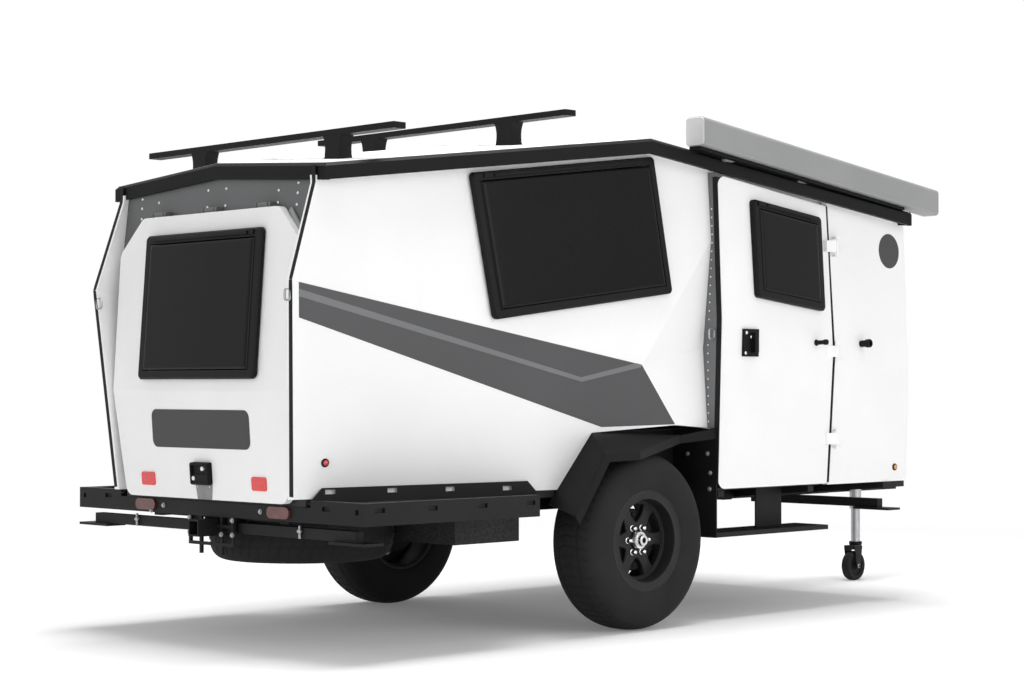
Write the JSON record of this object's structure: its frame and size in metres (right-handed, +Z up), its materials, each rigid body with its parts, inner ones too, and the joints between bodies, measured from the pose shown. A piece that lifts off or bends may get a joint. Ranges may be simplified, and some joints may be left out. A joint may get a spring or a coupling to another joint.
{
  "type": "travel trailer",
  "caption": "Small off-road travel trailer with a folded panel cabin, side door, rear hatch, roof bars, awning case, cargo rack, stabiliser legs and a jack with a caster wheel.",
  "frame": {"origin": "centre of the base of the bounding box, on the ground under the body", "axes": "+X to the kerb side where the entry door is, +Y forwards to the tow hitch, +Z up"},
  "size_m": [1.849, 4.662, 2.1124],
  "materials": {
    "white_panel": "satin white composite skin",
    "roof_white": "satin white roof skin",
    "black_trim": "matt black",
    "grey_metal": "satin aluminium sheet",
    "awning_grey": "satin grey extrusion",
    "black_steel": "powder coat",
    "window_frame": "fine grained",
    "dark_glass": "smoked acrylic",
    "tyre": "matt rubber",
    "black_rim": "satin black paint",
    "hub_chrome": "bright",
    "zinc_steel": "zinc plated",
    "tank_black": "speckled",
    "lamp_red": "moulded lens",
    "floor_ply": "sealed plywood"
  },
  "bodies": {
    "trailer": {"roof": "roof_white", "roof_fascia": "black_trim", "wall_rear_right": "white_panel", "wall_rear_left": "white_panel", "wall_front_right": "white_panel", "wall_front_left": "white_panel", "front_wall": "white_panel", "return_strips": "grey_metal", "rear_frame": "grey_metal", "side_window_frames": "window_frame", "side_window_panes": "dark_glass", "door_hinges": "black_steel", "floor": "floor_ply", "wheel_wells": "black_steel", "arch_flares": "black_trim", "awning": "awning_grey", "roof_bars": "black_trim", "chassis": "black_steel", "leg_mounts": "black_steel", "coupler": "black_steel", "jack_tube": "zinc_steel", "suspension_arms": "black_steel", "spare_tyre": "tyre", "spare_rim": "black_rim", "water_tank": "tank_black", "step": "black_steel", "cargo_rack": "black_steel", "tail_lamps": "lamp_red"},
    "hatch": {"hatch": "white_panel", "hatch_window_frame": "window_frame", "hatch_window_pane": "dark_glass"},
    "door": {"door": "white_panel", "door_window_frame": "window_frame", "door_window_pane": "dark_glass", "door_lock": "black_trim"},
    "wheel_right": {"tyre_right": "tyre", "rim_right": "black_rim", "hub_right": "hub_chrome"},
    "wheel_left": {"tyre_left": "tyre", "rim_left": "black_rim", "hub_left": "hub_chrome"},
    "jack_leg": {"jack_leg": "zinc_steel"},
    "caster_fork": {"caster_fork": "black_steel"},
    "caster_wheel": {"caster_wheel": "tyre"},
    "leg_rear_right": {"stabiliser_rear_right": "black_steel"},
    "leg_rear_left": {"stabiliser_rear_left": "black_steel"},
    "leg_front_right": {"stabiliser_front_right": "black_steel"},
    "leg_front_left": {"stabiliser_front_left": "black_steel"}
  },
  "joints": [
    {"name": "wheel_right_spin", "type": "hinge", "parent": "trailer", "child": "wheel_right", "pos_m": [0.7315, -0.659, 0.3665], "axis": [1, 0, 0], "continuous": true},
    {"name": "wheel_left_spin", "type": "hinge", "parent": "trailer", "child": "wheel_left", "pos_m": [-0.7605, -0.659, 0.3665], "axis": [1, 0, 0], "continuous": true},
    {"name": "hatch_lift", "type": "hinge", "parent": "trailer", "child": "hatch", "pos_m": [-0.0145, -2.223, 1.671], "axis": [-1, 0, 0], "range_deg": [0, 85]},
    {"name": "door_swing", "type": "hinge", "parent": "trailer", "child": "door", "pos_m": [0.8675, 0.582, 1.15], "axis": [0, 0, 1], "range_deg": [0, 110]},
    {"name": "jack_slide", "type": "slide", "parent": "trailer", "child": "jack_leg", "axis": [0, 0, 1], "range_m": [0, 0.16]},
    {"name": "caster_swivel", "type": "hinge", "parent": "jack_leg", "child": "caster_fork", "pos_m": [0.0745, 1.806, 0.16], "axis": [0, 0, 1], "continuous": true},
    {"name": "caster_spin", "type": "hinge", "parent": "caster_fork", "child": "caster_wheel", "pos_m": [0.0745, 1.786, 0.075], "axis": [1, 0, 0], "continuous": true},
    {"name": "leg_rear_right_drop", "type": "hinge", "parent": "trailer", "child": "leg_rear_right", "pos_m": [0.0955, -2.171, 0.455], "axis": [0, 1, 0], "range_deg": [0, 30]},
    {"name": "leg_rear_left_drop", "type": "hinge", "parent": "trailer", "child": "leg_rear_left", "pos_m": [-0.1245, -2.171, 0.455], "axis": [0, -1, 0], "range_deg": [0, 30]},
    {"name": "leg_front_right_drop", "type": "hinge", "parent": "trailer", "child": "leg_front_right", "pos_m": [0.0955, 0.991, 0.455], "axis": [0, 1, 0], "range_deg": [0, 30]},
    {"name": "leg_front_left_drop", "type": "hinge", "parent": "trailer", "child": "leg_front_left", "pos_m": [-0.1245, 0.991, 0.455], "axis": [0, -1, 0], "range_deg": [0, 30]}
  ]
}
